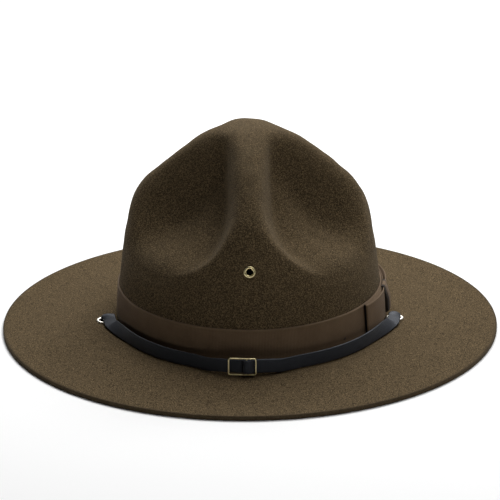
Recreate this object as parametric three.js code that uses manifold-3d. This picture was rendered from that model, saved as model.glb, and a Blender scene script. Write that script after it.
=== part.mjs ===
// Campaign hat: one felt body with a four-dent peaked crown and a flat brim, a ribbon band with a flat
// bow at the wearer's left, a leather chin strap with a wire buckle, and three eyelets.
// Millimetres, +Z up, front towards -Y. The origin is the middle of the face that the brim rests on.
import * as THREE from 'three';
import { mergeVertices } from 'three/addons/utils/BufferGeometryUtils.js';
import Module from 'manifold-3d';

const wasm = await Module();
wasm.setup();

// Running clearance between pieces that touch on the real hat
const GAP = 0.3;

// Felt body
const HAT_WIDTH = 329;
const HAT_LENGTH = 353;
const HAT_HEIGHT = 137.5;
const CROWN_WIDTH = 176;
const CROWN_LENGTH = 204;
const FELT = 2.8;
const BRIM_LIFT = 3;
const FOOT_FILLET = 2.5;

// Ribbon band and bow
const RIBBON_HEIGHT = 20;
const RIBBON_RISE = 3.7;
const RIBBON_THICKNESS = 1;
const BOW_LENGTH = 92;
const BOW_FORWARD = 15;
const BOW_HEIGHT = 18.8;
const BOW_THICKNESS = 2.2;
const KNOT_WIDTH = 15;
const KNOT_HEIGHT = 18;
const KNOT_OVERHANG = 0.8;
const KNOT_THICKNESS = 5;
const KNOT_TAPER = 0.5;

// Chin strap. It stands on its lower edge around the front, shifted a little towards +X, and leans over
// towards the eyelets.
const STRAP_WIDTH = 8.3;
const STRAP_THICKNESS = 1.4;
const STRAP_TILT = 80;
const STRAP_END_TILT = 20;
const STRAP_SIDE_CLEARANCE = 3.2;
const STRAP_FRONT_CLEARANCE = 7.1;
const STRAP_SHIFT = 1;
const STRAP_BULGE = 6;
const STRAP_FREE_END = 26;
const STRAP_INSET_LEFT = -0.4;
const STRAP_INSET_RIGHT = 2.2;

// Buckle
const BUCKLE_LENGTH = 18.3;
const BUCKLE_MARGIN = 0.4;
const BUCKLE_WIRE = 1.2;
const BUCKLE_BAR_OFFSET = 2.6;
const BUCKLE_OFFSET = -5.4;

// Eyelets
const BRIM_EYELET_HOLE = 8;
const BRIM_EYELET_OUTER = 12;
const BRIM_EYELET_RIM = 0.9;
const BRIM_EYELET_FORWARD = 17;
const CROWN_EYELET_HOLE = 4.3;
const CROWN_EYELET_OUTER = 8;
const CROWN_EYELET_RIM = 0.7;
const CROWN_EYELET_HEIGHT = 65;
const EYELET_WALL = 0.6;
const EYELET_BACK = 0.5;
const EYELET_CLEARANCE = 0.5;

// Crown sections from apex to foot. R columns are shares of the crown's half size at its foot,
// Z columns shares of the crown's height, and the half widths shares of the crown's half width and half
// length: how far the front and side ridges reach before the dents begin.
const CROWN_COLUMNS = ['sideR', 'sideZ', 'frontR', 'frontZ', 'dentR', 'dentZ', 'frontHalf', 'sideHalf'];
const CROWN_ROWS = [
  [0.000, 1.000, 0.000, 1.000, 0.000, 1.000, 0.215, 0.190],
  [0.120, 0.987, 0.125, 0.985, 0.092, 0.960, 0.212, 0.190],
  [0.235, 0.963, 0.250, 0.958, 0.160, 0.888, 0.200, 0.190],
  [0.350, 0.930, 0.370, 0.920, 0.228, 0.803, 0.185, 0.194],
  [0.460, 0.877, 0.480, 0.870, 0.300, 0.718, 0.175, 0.198],
  [0.570, 0.820, 0.580, 0.815, 0.384, 0.640, 0.175, 0.200],
  [0.660, 0.771, 0.665, 0.760, 0.484, 0.573, 0.180, 0.204],
  [0.737, 0.727, 0.740, 0.705, 0.608, 0.512, 0.194, 0.214],
  [0.806, 0.677, 0.800, 0.650, 0.742, 0.467, 0.228, 0.228],
  [0.863, 0.612, 0.850, 0.588, 0.857, 0.425, 0.296, 0.252],
  [0.902, 0.532, 0.892, 0.516, 0.912, 0.378, 0.395, 0.300],
  [0.927, 0.450, 0.923, 0.442, 0.935, 0.323, 0.500, 0.382],
  [0.947, 0.370, 0.946, 0.366, 0.950, 0.280, 0.570, 0.490],
  [0.967, 0.270, 0.968, 0.270, 0.967, 0.216, 0.570, 0.490],
  [0.986, 0.160, 0.986, 0.160, 0.985, 0.138, 0.570, 0.490],
  [1.000, 0.019, 1.000, 0.019, 1.000, 0.019, 0.570, 0.490],
];
const RIDGE_POWER = 3.1;
const SIDE_POWER = 2.4;

// Shares of the brim's width: raised and level out to the first, then easing down to rest from the second
const BRIM_LEVEL_SHARE = 0.22;
const BRIM_REST_SHARE = 0.8;

const crownX = CROWN_WIDTH / 2;
const crownY = CROWN_LENGTH / 2;
const footZ = BRIM_LIFT + FELT;
const up = new THREE.Vector3(0, 0, 1);
const lastRow = CROWN_ROWS.length - 1;

// Uniform Catmull-Rom curve through the crown's rows, with straight run-outs at both ends
function crownRow(t) {
  const i = Math.min(Math.floor(t), lastRow - 1);
  const f = t - i;
  const row = {};
  CROWN_COLUMNS.forEach((name, k) => {
    const p1 = CROWN_ROWS[i][k];
    const p2 = CROWN_ROWS[i + 1][k];
    const p0 = i > 0 ? CROWN_ROWS[i - 1][k] : 2 * p1 - p2;
    const p3 = i + 2 <= lastRow ? CROWN_ROWS[i + 2][k] : 2 * p2 - p1;
    const linear = (p2 - p0) * f;
    const square = (2 * p0 - 5 * p1 + 4 * p2 - p3) * f * f;
    const cube = (3 * p1 - p0 - 3 * p2 + p3) * f * f * f;
    row[name] = 0.5 * (2 * p1 + linear + square + cube);
  });
  return row;
}

// Crown's outer face: ridges at the front, back and sides, blended into the four dents between them
function crownPoint(a, t) {
  const row = crownRow(t);
  const cos = Math.cos(a);
  const sin = Math.sin(a);
  const offFront = Math.abs((row.sideR * cos) / row.frontHalf);
  const offSide = Math.abs((row.sideR * sin) / row.sideHalf);
  const awayFromSide = 1 - Math.exp(-Math.pow(offSide, SIDE_POWER));
  const awayFromFront = 1 - Math.exp(-Math.pow(offFront, RIDGE_POWER));
  const side = 1 - awayFromSide;
  const front = 1 - awayFromFront;
  const dent = awayFromSide * awayFromFront + 1e-9;
  const all = side + front + dent;
  const r = (side * row.sideR + front * row.frontR + dent * row.dentR) / all;
  const z = (side * row.sideZ + front * row.frontZ + dent * row.dentZ) / all;
  return new THREE.Vector3(r * crownX * cos, r * crownY * sin, footZ + z * (HAT_HEIGHT - footZ));
}

function smoothstep(x) {
  const t = Math.min(Math.max(x, 0), 1);
  return t * t * (3 - 2 * t);
}

// Brim's upper face, u from 0 at the crown's foot to 1 at the edge
function brimPoint(a, u) {
  const x = crownX + (HAT_WIDTH / 2 - crownX) * u;
  const y = crownY + (HAT_LENGTH / 2 - crownY) * u;
  const down = smoothstep((u - BRIM_LEVEL_SHARE) / (BRIM_REST_SHARE - BRIM_LEVEL_SHARE));
  return new THREE.Vector3(x * Math.cos(a), y * Math.sin(a), FELT + BRIM_LIFT * (1 - down));
}

const filletShare = FOOT_FILLET / (HAT_WIDTH / 2 - crownX);

// Whole outer section: crown rows, then the fillet at its foot, then the brim
function outerPoint(a, s) {
  if (s <= lastRow) return crownPoint(a, s);
  if (s <= lastRow + 1) {
    const turn = ((s - lastRow) * Math.PI) / 2;
    const p = brimPoint(a, (1 - Math.cos(turn)) * filletShare);
    p.z += FOOT_FILLET * (1 - Math.sin(turn));
    return p;
  }
  return brimPoint(a, filletShare + (s - lastRow - 1) * (1 - filletShare));
}

function outerNormal(a, s) {
  const d = 1e-3;
  const along = outerPoint(a, s + d).sub(outerPoint(a, Math.max(s - d, 0)));
  const around = outerPoint(a + d, s).sub(outerPoint(a - d, s));
  return along.cross(around).normalize();
}

function innerPoint(a, s) {
  if (s === 0) return new THREE.Vector3(0, 0, HAT_HEIGHT - FELT);
  return outerPoint(a, s).addScaledVector(outerNormal(a, s), -FELT);
}

// Point and normal of the crown's wall at a given height
function wallAt(a, z) {
  let low = lastRow * 0.6;
  let high = lastRow;
  for (let i = 0; i < 40; i++) {
    const mid = (low + high) / 2;
    if (crownPoint(a, mid).z > z) low = mid;
    else high = mid;
  }
  const s = Math.min(low, lastRow - 1e-2);
  return { point: crownPoint(a, low), normal: outerNormal(a, s) };
}

// Closed geometry with shared vertices and no flat triangles
function tidy(geometry) {
  geometry.deleteAttribute('normal');
  geometry.deleteAttribute('uv');
  const merged = mergeVertices(geometry, 1e-4);
  const index = merged.index.array;
  const kept = [];
  for (let i = 0; i < index.length; i += 3) {
    const [a, b, c] = [index[i], index[i + 1], index[i + 2]];
    if (a !== b && b !== c && c !== a) kept.push(a, b, c);
  }
  merged.setIndex(kept);
  merged.clearGroups();
  merged.computeVertexNormals();
  return merged;
}

// Ring around +Z: a lathe grid whose vertices are moved to point(share of a turn, row)
function ring(steps, rows, point) {
  const profile = Array.from({ length: rows }, (_, j) => new THREE.Vector2(1, j));
  const geometry = new THREE.LatheGeometry(profile, steps);
  const position = geometry.attributes.position;
  for (let i = 0; i <= steps; i++) {
    for (let j = 0; j < rows; j++) {
      const p = point((i % steps) / steps, j);
      position.setXYZ(i * rows + j, p.x, p.y, p.z);
    }
  }
  return tidy(geometry);
}

// Box whose vertices are moved to map(x, y, z), each from 0 to 1
function shapedBox(nx, ny, nz, map) {
  const geometry = new THREE.BoxGeometry(1, 1, 1, nx, ny, nz);
  const position = geometry.attributes.position;
  for (let i = 0; i < position.count; i++) {
    const p = map(position.getX(i) + 0.5, position.getY(i) + 0.5, position.getZ(i) + 0.5);
    position.setXYZ(i, p.x, p.y, p.z);
  }
  return tidy(geometry);
}

function toManifold(geometry) {
  const vertProperties = new Float32Array(geometry.attributes.position.array);
  const triVerts = new Uint32Array(geometry.index.array);
  return new wasm.Manifold(new wasm.Mesh({ numProp: 3, vertProperties, triVerts }));
}

function toGeometry(manifold) {
  const mesh = manifold.getMesh();
  const geometry = new THREE.BufferGeometry();
  geometry.setAttribute('position', new THREE.BufferAttribute(mesh.vertProperties, 3));
  geometry.setIndex(new THREE.BufferAttribute(mesh.triVerts, 1));
  geometry.computeVertexNormals();
  return geometry;
}

const hat = new THREE.Group();

function add(name, geometry, material) {
  const mesh = new THREE.Mesh(geometry, material);
  mesh.name = name;
  hat.add(mesh);
  return mesh;
}

const felt = new THREE.MeshStandardMaterial({ color: 0x585039, roughness: 0.95, metalness: 0 });
const ribbon = new THREE.MeshStandardMaterial({ color: 0x3f3226, roughness: 0.85, metalness: 0 });
const leather = new THREE.MeshStandardMaterial({ color: 0x23262c, roughness: 0.5, metalness: 0 });
const brass = new THREE.MeshStandardMaterial({ color: 0xc8b978, roughness: 0.3, metalness: 1 });
const paleBrass = new THREE.MeshStandardMaterial({ color: 0xd6cba8, roughness: 0.3, metalness: 1 });

// Eyelets: a barrel through the felt with a domed rim on the outer face and a flat one behind,
// turned about +Z with its zero height on the felt's outer face
function eyeletGeometry(hole, outer, rim, steps) {
  const inside = hole / 2;
  const barrel = inside + EYELET_WALL;
  const edge = outer / 2;
  const back = -FELT - GAP;
  const profile = [
    [inside, back - EYELET_BACK],
    [edge, back - EYELET_BACK],
    [edge, back],
    [barrel, back],
    [barrel, GAP],
    [edge, GAP],
    [edge - rim * 0.12, GAP + rim * 0.55],
    [edge - (edge - inside) * 0.4, GAP + rim],
    [inside + rim * 0.12, GAP + rim * 0.55],
    [inside, back - EYELET_BACK],
  ];
  const points = profile.map(([r, h]) => new THREE.Vector2(r, h));
  return tidy(new THREE.LatheGeometry(points, steps).rotateX(Math.PI / 2));
}

function eyeletCutter(hole, frame) {
  const radius = hole / 2 + EYELET_WALL + GAP;
  const cutter = new THREE.CylinderGeometry(radius, radius, FELT * 6, 24).rotateX(Math.PI / 2);
  return toManifold(tidy(cutter.applyMatrix4(frame)));
}

const eyeletOffset = FOOT_FILLET + EYELET_CLEARANCE + BRIM_EYELET_OUTER / 2;
const eyeletX = crownX * Math.sqrt(1 - (BRIM_EYELET_FORWARD / crownY) ** 2) + eyeletOffset;
const leftEyeletFrame = new THREE.Matrix4().makeTranslation(eyeletX, -BRIM_EYELET_FORWARD, footZ);
const rightEyeletFrame = new THREE.Matrix4().makeTranslation(-eyeletX, -BRIM_EYELET_FORWARD, footZ);

const crownEyeletSeat = wallAt(-Math.PI / 2, CROWN_EYELET_HEIGHT);
const crownEyeletTurn = new THREE.Quaternion().setFromUnitVectors(up, crownEyeletSeat.normal);
const crownEyeletFrame = new THREE.Matrix4().compose(
  crownEyeletSeat.point,
  crownEyeletTurn,
  new THREE.Vector3(1, 1, 1),
);

// Felt body: crown and brim in one piece, hollow below. Columns crowd towards the four ridges.
const BODY_STEPS = 64;
const BODY_CROWD = 0.11;
const outerRows = [];
for (let row = 0; row <= lastRow; row++) outerRows.push(row);
for (const share of [0.33, 0.67, 1, 1.19, 1.34, 1.48, 1.62, 1.78, 2]) outerRows.push(lastRow + share);
const bodyRows = [...outerRows].reverse();
const bodyGeometry = ring(BODY_STEPS, 2 * outerRows.length, (turn, j) => {
  const even = turn * 2 * Math.PI;
  const a = even - BODY_CROWD * Math.sin(4 * even);
  if (j >= outerRows.length) return outerPoint(a, bodyRows[j - outerRows.length]);
  const p = innerPoint(a, outerRows[j]);
  if (outerRows[j] > lastRow + 1) {
    const top = outerPoint(a, outerRows[j]);
    p.set(top.x, top.y, top.z - FELT);
  }
  return p;
});
let body = toManifold(bodyGeometry);
body = body.subtract(eyeletCutter(BRIM_EYELET_HOLE, rightEyeletFrame));
body = body.subtract(eyeletCutter(BRIM_EYELET_HOLE, leftEyeletFrame));
body = body.subtract(eyeletCutter(CROWN_EYELET_HOLE, crownEyeletFrame));
add('felt_body', toGeometry(body), felt);

const crownEyelet = add(
  'crown_eyelet',
  eyeletGeometry(CROWN_EYELET_HOLE, CROWN_EYELET_OUTER, CROWN_EYELET_RIM, 24),
  brass,
);
crownEyelet.applyMatrix4(crownEyeletFrame);
const leftEyelet = add(
  'brim_eyelet_left',
  eyeletGeometry(BRIM_EYELET_HOLE, BRIM_EYELET_OUTER, BRIM_EYELET_RIM, 28),
  paleBrass,
);
leftEyelet.applyMatrix4(leftEyeletFrame);
const rightEyelet = add(
  'brim_eyelet_right',
  eyeletGeometry(BRIM_EYELET_HOLE, BRIM_EYELET_OUTER, BRIM_EYELET_RIM, 28),
  paleBrass,
);
rightEyelet.applyMatrix4(rightEyeletFrame);

// Point at a height and at a distance outside the crown's wall
const ribbonFoot = footZ + RIBBON_RISE;
const ribbonTop = ribbonFoot + RIBBON_HEIGHT;
function offWall(a, z, distance) {
  const { point, normal } = wallAt(a, z);
  const flat = new THREE.Vector3(normal.x, normal.y, 0).normalize();
  return point.addScaledVector(flat, distance / flat.dot(normal));
}

// Ribbon band, closed around the crown's foot
const ribbonRows = [
  { share: 0, out: 0 },
  { share: 0, out: 1 },
  { share: 0.5, out: 1 },
  { share: 1, out: 1 },
  { share: 1, out: 0 },
  { share: 0.5, out: 0 },
  { share: 0, out: 0 },
];
const ribbonGeometry = ring(72, ribbonRows.length, (turn, j) => {
  const { share, out } = ribbonRows[j];
  return offWall(turn * 2 * Math.PI, ribbonFoot + share * RIBBON_HEIGHT, GAP + out * RIBBON_THICKNESS);
});
add('ribbon_band', ribbonGeometry, ribbon);

// Flat bow at +X, a little towards the front: two folded loops and the knot that holds their meeting ends.
// Angles come from lengths along the ribbon's face, which is nearly the crown's half length in radius here.
const ribbonFace = GAP + RIBBON_THICKNESS;
const bowRadius = crownY + ribbonFace;
const knotHalfAngle = KNOT_WIDTH / 2 / bowRadius;
const loopStart = knotHalfAngle + GAP / bowRadius;
const loopEnd = BOW_LENGTH / 2 / bowRadius;
const bowAngle = -BOW_FORWARD / bowRadius;

function bowLoop(direction) {
  return shapedBox(8, 2, 1, (x, y, z) => {
    const share = direction > 0 ? x : 1 - x;
    const a = bowAngle + direction * (loopStart + share * (loopEnd - loopStart));
    const fold = Math.sqrt(Math.max(1 - Math.pow(Math.max(share - 0.875, 0) / 0.125, 2) * 0.7, 0));
    const middle = ribbonFace + GAP + BOW_THICKNESS / 2;
    return offWall(a, ribbonTop - (1 - y) * BOW_HEIGHT, middle + (z - 0.5) * BOW_THICKNESS * fold);
  });
}
add('bow_front_loop', bowLoop(-1), ribbon);
add('bow_rear_loop', bowLoop(1), ribbon);
const knotGeometry = shapedBox(4, 2, 1, (x, y, z) => {
  const a = bowAngle + (2 * x - 1) * knotHalfAngle;
  const round = 1 - 0.3 * Math.pow(Math.abs(2 * x - 1), 3);
  const taper = 1 - KNOT_TAPER * Math.max(2 * y - 1, 0);
  const height = ribbonTop + KNOT_OVERHANG - (1 - y) * KNOT_HEIGHT;
  return offWall(a, height, ribbonFace + GAP + z * KNOT_THICKNESS * round * taper);
});
add('bow_knot', knotGeometry, ribbon);

// Chin strap. Its visible stretch stands around the front, clear of the ribbon, and its ends go down
// through the brim eyelets and join behind the head opening, under the brim.
const strapHalf = STRAP_WIDTH / 2;
const layer = STRAP_THICKNESS + GAP;
const fullTilt = THREE.MathUtils.degToRad(STRAP_TILT);
const endTilt = THREE.MathUtils.degToRad(STRAP_END_TILT);
const frameY = strapHalf + BUCKLE_MARGIN + BUCKLE_WIRE;
const wrap = BUCKLE_WIRE / 2 + GAP + STRAP_THICKNESS / 2;
const strapX = crownX + ribbonFace + STRAP_THICKNESS / 2 + STRAP_SIDE_CLEARANCE;
const strapY = crownY + ribbonFace + STRAP_THICKNESS / 2 + STRAP_FRONT_CLEARANCE;
const buckleAngle = -Math.PI / 2 + BUCKLE_OFFSET / strapX;
const buckleHalf = BUCKLE_LENGTH / 2 - BUCKLE_WIRE / 2;

// Share of the full tilt, from the eyelets (0) to where the strap stands (1)
const eyeletSine = BRIM_EYELET_FORWARD / strapY;
const STAND_SINE = 0.6;
function standing(a) {
  return smoothstep((Math.abs(Math.sin(a)) - eyeletSine) / (STAND_SINE - eyeletSine));
}

// How far the strap moves outward beside the eyelets to reach its place over the hole
function swing(side) {
  const inset = side > 0 ? STRAP_INSET_LEFT : STRAP_INSET_RIGHT;
  return eyeletX - inset - side * STRAP_SHIFT - strapX * Math.sqrt(1 - eyeletSine ** 2);
}

// Near the buckle the strap bulges outward and is raised for the buckle's lower wire, and along its free
// end it makes room for that end behind it
const layerStop = STRAP_FREE_END + GAP;
function bulge(along) {
  return 1 - smoothstep((Math.abs(along) / BUCKLE_LENGTH - 0.3) / 1.7);
}
function raise(along) {
  return 1 - smoothstep((Math.abs(along) / BUCKLE_LENGTH - 0.55) / 0.75);
}
function layerLift(along) {
  if (along > 0) return 1 - smoothstep((along - layerStop) / BUCKLE_LENGTH);
  return 1 - smoothstep((-along - BUCKLE_LENGTH / 2) / BUCKLE_LENGTH);
}

// Centre, across and face directions of the visible stretch at angle a
function strapFront(a) {
  const outward = new THREE.Vector3(Math.cos(a) / strapX, Math.sin(a) / strapY, 0).normalize();
  const share = standing(a);
  const tilt = endTilt + (fullTilt - endTilt) * share;
  const centre = new THREE.Vector3(STRAP_SHIFT + strapX * Math.cos(a), strapY * Math.sin(a), footZ + GAP);
  const across = outward.clone().multiplyScalar(-Math.cos(tilt)).addScaledVector(up, Math.sin(tilt));
  const face = outward.clone().multiplyScalar(Math.sin(tilt)).addScaledVector(up, Math.cos(tilt));
  const along = (a - buckleAngle) * strapX;
  centre.z += (STRAP_THICKNESS / 2) * Math.cos(tilt) + strapHalf * Math.sin(tilt);
  centre.z += (BUCKLE_MARGIN + BUCKLE_WIRE) * raise(along);
  centre.addScaledVector(outward, STRAP_BULGE * bulge(along) + swing(Math.sign(Math.cos(a))) * (1 - share));
  centre.addScaledVector(face, layer * layerLift(along));
  return { centre, across, face };
}

// Station of the strap near the buckle: distance along it from the buckle and off its resting line
function strapAt(along, off) {
  const { centre, across, face } = strapFront(buckleAngle + along / strapX);
  return { point: centre.addScaledVector(face, off), across, half: strapHalf };
}

const stations = [];

// Fixed end: a short tail behind the middle bar, round it, and back under the end bar
stations.push(strapAt(BUCKLE_BAR_OFFSET + wrap * 0.7, 0), strapAt(BUCKLE_BAR_OFFSET + wrap * 0.35, 0));
for (let k = 0; k <= 6; k++) {
  const turn = -Math.PI / 2 - (k * Math.PI) / 6;
  stations.push(strapAt(BUCKLE_BAR_OFFSET + wrap * Math.cos(turn), wrap + wrap * Math.sin(turn)));
}
for (let k = 1; k <= 6; k++) {
  const along = BUCKLE_BAR_OFFSET + ((buckleHalf - BUCKLE_WIRE - BUCKLE_BAR_OFFSET) * k) / 6;
  stations.push(strapAt(along, wrap + wrap * Math.cos((k * Math.PI) / 6)));
}

// Passage through a brim eyelet: distance along as a share of the hole's radius, height from the
// stretch below (0) to the one over the rim (1), width from gathered (0) to full (1), and how much of the
// tilt and of the move off the hole's centre is left
const PASSAGE_COLUMNS = ['along', 'height', 'width', 'lean'];
const PASSAGE_ROWS = [
  [2.30, 0.960, 1.00, 1.00],
  [1.70, 1.000, 1.00, 1.00],
  [1.20, 1.015, 0.97, 0.93],
  [0.85, 1.005, 0.88, 0.80],
  [0.52, 0.955, 0.68, 0.53],
  [0.27, 0.835, 0.38, 0.28],
  [0.10, 0.660, 0.12, 0.10],
  [0.00, 0.470, 0.00, 0.00],
  [-0.08, 0.320, 0.00, 0.00],
  [-0.20, 0.150, 0.00, 0.00],
  [-0.36, 0.060, 0.00, 0.00],
  [-0.56, 0.008, 0.00, 0.00],
  [-0.80, 0.000, 0.04, 0.00],
  [-1.10, 0.000, 0.28, 0.00],
  [-1.50, 0.000, 0.65, 0.00],
  [-2.00, 0.040, 1.00, 0.00],
];
const holeRadius = BRIM_EYELET_HOLE / 2;
const gatheredHalf = Math.min(strapHalf, holeRadius * 0.72);
const rimTop = footZ + 2 * GAP + BRIM_EYELET_RIM;
const passTop = rimTop + (STRAP_THICKNESS / 2) * Math.cos(endTilt) + strapHalf * Math.sin(endTilt);
const passLow = BRIM_LIFT - 2 * GAP - EYELET_BACK - STRAP_THICKNESS / 2;
const restLow = BRIM_LIFT - GAP - STRAP_THICKNESS / 2;
const strapBackY = crownY + eyeletOffset;
const strapBackX = eyeletX / Math.sqrt(1 - (BRIM_EYELET_FORWARD / strapBackY) ** 2);

// Side is +1 at the wearer's left eyelet and -1 at the other
function passage(side) {
  const out = [];
  for (const row of PASSAGE_ROWS) {
    const [along, height, width, lean] = PASSAGE_COLUMNS.map((name, k) => row[k]);
    const y = -BRIM_EYELET_FORWARD - along * holeRadius;
    const frontX = strapX * Math.sqrt(1 - (y / strapY) ** 2) + swing(side) + side * STRAP_SHIFT;
    const backX = strapBackX * Math.sqrt(1 - (y / strapBackY) ** 2);
    const tilt = endTilt * lean;
    out.push({
      point: new THREE.Vector3(side * (backX + (frontX - backX) * lean), y, passLow + height * (passTop - passLow)),
      across: new THREE.Vector3(-side * Math.cos(tilt), 0, Math.sin(tilt)),
      half: gatheredHalf + width * (strapHalf - gatheredHalf),
    });
  }
  return out;
}

// Angle at which the plain stretches begin, beyond the passage
const clearFront = Math.asin((BRIM_EYELET_FORWARD + 3.4 * holeRadius) / strapY);
const clearBack = Math.asin((2.8 * holeRadius - BRIM_EYELET_FORWARD) / strapBackY);

const FRONT_STEPS = 20;
const firstFront = buckleAngle + (buckleHalf * 1.5) / strapX;
for (let k = 0; k <= FRONT_STEPS; k++) {
  const a = firstFront + ((-clearFront - firstFront) * k) / FRONT_STEPS;
  const { centre, across } = strapFront(a);
  stations.push({ point: centre, across, half: strapHalf });
}
stations.push(...passage(1));
const BACK_STEPS = 40;
for (let k = 0; k <= BACK_STEPS; k++) {
  const a = clearBack + ((Math.PI - 2 * clearBack) * k) / BACK_STEPS;
  const outward = new THREE.Vector3(Math.cos(a) / strapBackX, Math.sin(a) / strapBackY, 0).normalize();
  stations.push({
    point: new THREE.Vector3(strapBackX * Math.cos(a), strapBackY * Math.sin(a), restLow),
    across: outward.negate(),
    half: strapHalf,
  });
}
stations.push(...passage(-1).reverse());
const lastFront = buckleAngle - (buckleHalf * 1.5) / strapX;
for (let k = 0; k <= FRONT_STEPS; k++) {
  const a = -Math.PI + clearFront + ((lastFront + Math.PI - clearFront) * k) / FRONT_STEPS;
  const { centre, across } = strapFront(a);
  stations.push({ point: centre, across, half: strapHalf });
}

// Free end: behind the end bar, back behind the wrapped middle bar, and on behind the other half
stations.push(strapAt(-buckleHalf, 0), strapAt(BUCKLE_BAR_OFFSET - wrap * 2.6, 0));
for (const share of [0.9, 0.6, 0.3, 0]) {
  const turn = share * 0.75 * (Math.PI / 2) * 1.2;
  const reach = wrap + layer;
  stations.push(strapAt(BUCKLE_BAR_OFFSET - reach * Math.sin(turn), wrap - reach * Math.cos(turn)));
}
for (const share of [0.25, 0.5, 0.75, 0.94]) stations.push(strapAt(STRAP_FREE_END * share, -layer));
const tip = strapAt(STRAP_FREE_END, -layer);
tip.half *= 0.8;
stations.push(tip);

const strapFrames = stations.map((station, i) => {
  const before = stations[Math.max(i - 1, 0)].point;
  const after = stations[Math.min(i + 1, stations.length - 1)].point;
  const along = after.clone().sub(before).normalize();
  const across = station.across.clone().addScaledVector(along, -station.across.dot(along)).normalize();
  return { ...station, across, face: along.cross(across) };
});
const strapGeometry = shapedBox(stations.length - 1, 1, 1, (x, y, z) => {
  const frame = strapFrames[Math.round(x * (stations.length - 1))];
  const point = frame.point.clone().addScaledVector(frame.across, (2 * y - 1) * frame.half);
  return point.addScaledVector(frame.face, (z - 0.5) * STRAP_THICKNESS);
});
add('chin_strap', strapGeometry, leather);

// Buckle: a wire frame with a middle bar, in the strap's plane
function roundedRectangle(path, x0, x1, y0, y1, r) {
  path.moveTo(x0 + r, y0);
  path.lineTo(x1 - r, y0);
  path.absarc(x1 - r, y0 + r, r, -Math.PI / 2, 0);
  path.lineTo(x1, y1 - r);
  path.absarc(x1 - r, y1 - r, r, 0, Math.PI / 2);
  path.lineTo(x0 + r, y1);
  path.absarc(x0 + r, y1 - r, r, Math.PI / 2, Math.PI);
  path.lineTo(x0, y0 + r);
  path.absarc(x0 + r, y0 + r, r, Math.PI, 1.5 * Math.PI);
  return path;
}
const frameX = BUCKLE_LENGTH / 2;
const slotY = frameY - BUCKLE_WIRE;
const wireHalf = BUCKLE_WIRE / 2;
const cornerOuter = BUCKLE_WIRE * 1.4;
const cornerInner = BUCKLE_WIRE * 0.5;
const bevel = BUCKLE_WIRE * 0.25;
const frameShape = roundedRectangle(
  new THREE.Shape(),
  -frameX + bevel,
  frameX - bevel,
  -frameY + bevel,
  frameY - bevel,
  cornerOuter,
);
for (const side of [-1, 1]) {
  const near = BUCKLE_BAR_OFFSET + side * (wireHalf - bevel);
  const far = side * (frameX - BUCKLE_WIRE + bevel);
  const x0 = Math.min(near, far);
  const x1 = Math.max(near, far);
  const slot = roundedRectangle(new THREE.Path(), x0, x1, -slotY - bevel, slotY + bevel, cornerInner);
  frameShape.holes.push(slot);
}
const buckleGeometry = new THREE.ExtrudeGeometry(frameShape, {
  depth: BUCKLE_WIRE - 2 * bevel,
  bevelThickness: bevel,
  bevelSize: bevel,
  bevelSegments: 1,
  curveSegments: 3,
}).translate(0, 0, -BUCKLE_WIRE / 2 + bevel);
const buckle = add('buckle', tidy(buckleGeometry), brass);
const seat = strapFront(buckleAngle);
const tangent = seat.across.clone().cross(seat.face);
buckle.applyMatrix4(
  new THREE.Matrix4()
    .makeBasis(tangent, seat.across, seat.face)
    .setPosition(seat.centre.clone().addScaledVector(seat.face, wrap)),
);

export default hat;
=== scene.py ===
"""Campaign hat: felt body, grosgrain band with a flat bow, buckled leather chin strap, brass eyelets."""

import math

import bmesh
import bpy
import numpy as np
from mathutils import Matrix, Vector


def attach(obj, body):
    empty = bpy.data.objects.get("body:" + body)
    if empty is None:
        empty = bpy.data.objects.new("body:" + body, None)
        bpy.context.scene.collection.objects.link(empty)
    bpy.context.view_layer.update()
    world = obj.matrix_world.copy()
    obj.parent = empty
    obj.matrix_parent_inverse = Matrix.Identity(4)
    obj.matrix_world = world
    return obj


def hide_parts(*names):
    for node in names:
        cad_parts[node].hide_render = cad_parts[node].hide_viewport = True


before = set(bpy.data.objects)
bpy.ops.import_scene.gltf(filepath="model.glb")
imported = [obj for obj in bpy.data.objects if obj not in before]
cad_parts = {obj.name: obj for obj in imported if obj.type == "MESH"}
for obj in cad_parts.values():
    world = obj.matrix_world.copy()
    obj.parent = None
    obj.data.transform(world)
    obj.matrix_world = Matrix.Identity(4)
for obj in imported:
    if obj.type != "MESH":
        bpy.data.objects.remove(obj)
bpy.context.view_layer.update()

MM = 0.001
UP = np.array([0.0, 0.0, 1.0])

# Sizes in millimetres
GAP = 0.3
HAT_HALF_X = 164.5
HAT_HALF_Y = 176.5
HAT_HEIGHT = 137.5
CROWN_X = 88.0
CROWN_Y = 102.0
FELT = 2.8
BRIM_LIFT = 3.0
FOOT_FILLET = 2.5
FOOT_Z = BRIM_LIFT + FELT
BRIM_FALL_START = 0.22  # share of the brim's width
BRIM_FALL_END = 0.8
EDGE_RADIUS_TOP = 0.7
EDGE_RADIUS_LOW = 0.5
RIBBON_FOOT = 9.5
RIBBON_HEIGHT = 20.0
RIBBON_THICKNESS = 1.0
RIBBON_TOP = RIBBON_FOOT + RIBBON_HEIGHT
RIBBON_FACE = GAP + RIBBON_THICKNESS
RIBBON_CLEARANCE = 0.12
RIB_PITCH = 1.0
BOW_LENGTH = 92.0
BOW_FORWARD = 15.0
BOW_HEIGHT = 18.8
KNOT_WIDTH = 15.0
KNOT_HEIGHT = 18.0
KNOT_OVERHANG = 0.8
KNOT_RISE = 4.9
STRAP_WIDTH = 8.3
STRAP_THICKNESS = 1.4
FREE_END = 26.0
BUCKLE_LENGTH = 18.3
BUCKLE_MARGIN = 0.4
BUCKLE_WIRE = 1.2
BUCKLE_CORNER = 1.15
BUCKLE_OFFSET = -5.4
WIRE_RADIUS = 0.46
BAR_OFFSET = 2.6
EYELET_Y = -17.0
EYELET_X = 95.77
EYELET_WALL = 0.6
CROWN_EYELET_Z = 65.0
CROWN_HOLE = 2.05
CROWN_FLANGE = 3.75
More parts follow.
